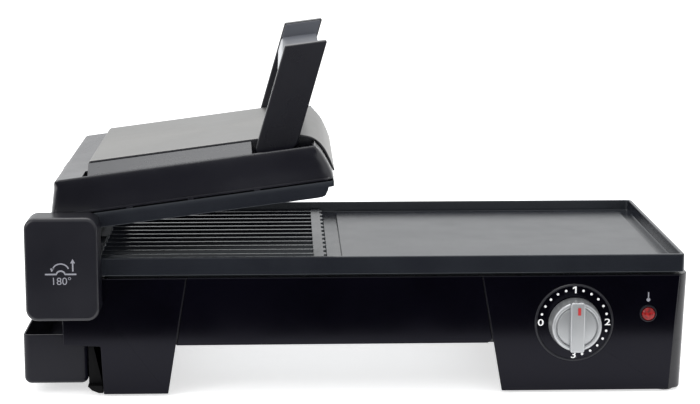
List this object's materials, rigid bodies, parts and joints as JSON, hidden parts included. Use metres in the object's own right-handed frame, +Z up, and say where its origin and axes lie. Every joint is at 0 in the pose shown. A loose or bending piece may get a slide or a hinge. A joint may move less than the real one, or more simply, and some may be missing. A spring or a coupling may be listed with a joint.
{
  "type": "panini press",
  "caption": "Countertop panini press with a ribbed and flat griddle on a raised base, a floating tilting lid with a two-armed bar handle, a drip tray and a thermostat dial.",
  "frame": {"origin": "on the table under the middle of the machine's bounding box", "axes": "+X along the length toward the controls, -Y toward the user, +Z up"},
  "size_m": [0.5904, 0.323, 0.3139],
  "materials": {
    "gloss_black": "gloss black enamel",
    "housing_black": "satin black powder coat",
    "satin_plastic": "satin black heat-resistant plastic",
    "cast_plate": "dark non-stick coating",
    "cover_steel": "brushed",
    "zinc_steel": "zinc plated",
    "element_sheath": "heat-darkened sheath",
    "silver_grip": "satin silver",
    "silver_knob": "silver finish",
    "red_lens": "translucent red",
    "rubber": "matte",
    "ceramic": "unglazed"
  },
  "bodies": {
    "base": {"base_housing": "housing_black", "left_leg_panel": "gloss_black", "centre_front_panel": "gloss_black", "control_panel": "gloss_black", "griddle_plate": "cast_plate", "lower_element_left": "element_sheath", "lower_element_right": "element_sheath", "element_strap_left": "zinc_steel", "element_strap_right": "zinc_steel", "lower_heat_shield": "zinc_steel", "bottom_cover": "zinc_steel", "foot_front_right": "rubber", "foot_front_left": "rubber", "foot_rear_right": "rubber", "foot_rear_left": "rubber", "drain_chute": "zinc_steel", "tray_guide_front": "satin_plastic", "tray_guide_rear": "satin_plastic", "thermostat_body": "ceramic", "dial_ring": "satin_plastic", "lamp_bezel": "satin_plastic", "lamp_lens": "red_lens", "lamp_holder": "ceramic", "terminal_block": "ceramic", "cable_inlet": "rubber", "hinge_block_front": "satin_plastic", "hinge_block_rear": "satin_plastic", "slot_plate_front": "zinc_steel", "slot_plate_rear": "zinc_steel"},
    "hinge_carriage": {"hinge_carriage_front": "zinc_steel", "hinge_carriage_rear": "zinc_steel", "hinge_rod": "zinc_steel"},
    "lid": {"lid_shell": "satin_plastic", "lid_cover": "cover_steel", "upper_plate": "cast_plate", "upper_element": "element_sheath", "upper_heat_shield": "zinc_steel", "upper_clip_front": "zinc_steel", "upper_clip_rear": "zinc_steel", "lid_lug_front": "zinc_steel", "lid_lug_rear": "zinc_steel", "handle_bracket_front": "zinc_steel", "handle_bracket_rear": "zinc_steel", "handle_pin_front": "zinc_steel", "handle_pin_rear": "zinc_steel"},
    "handle": {"handle_arm_front": "satin_plastic", "handle_arm_rear": "satin_plastic", "handle_grip": "silver_grip"},
    "knob": {"control_knob": "silver_knob", "knob_shaft": "zinc_steel", "knob_index": "red_lens"},
    "tray": {"drip_tray": "satin_plastic"}
  },
  "joints": [
    {"name": "hinge_lift", "type": "slide", "parent": "base", "child": "hinge_carriage", "axis": [0, 0, 1], "range_m": [-0.0212, 0.001]},
    {"name": "lid_tilt", "type": "hinge", "parent": "hinge_carriage", "child": "lid", "pos_m": [-0.258, 0, 0.1522], "axis": [0, -1, 0], "range_deg": [-7.5, 172.5]},
    {"name": "handle_swing", "type": "hinge", "parent": "lid", "child": "handle", "pos_m": [-0.07464, 0, 0.20357], "axis": [0, 1, 0], "range_deg": [0, 22]},
    {"name": "knob_turn", "type": "hinge", "parent": "base", "child": "knob", "pos_m": [0.1934, -0.1335, 0.0641], "axis": [0, 1, 0], "range_deg": [-90, 180]},
    {"name": "tray_slide", "type": "slide", "parent": "base", "child": "tray", "axis": [-1, 0, 0], "range_m": [0, 0.06]}
  ]
}
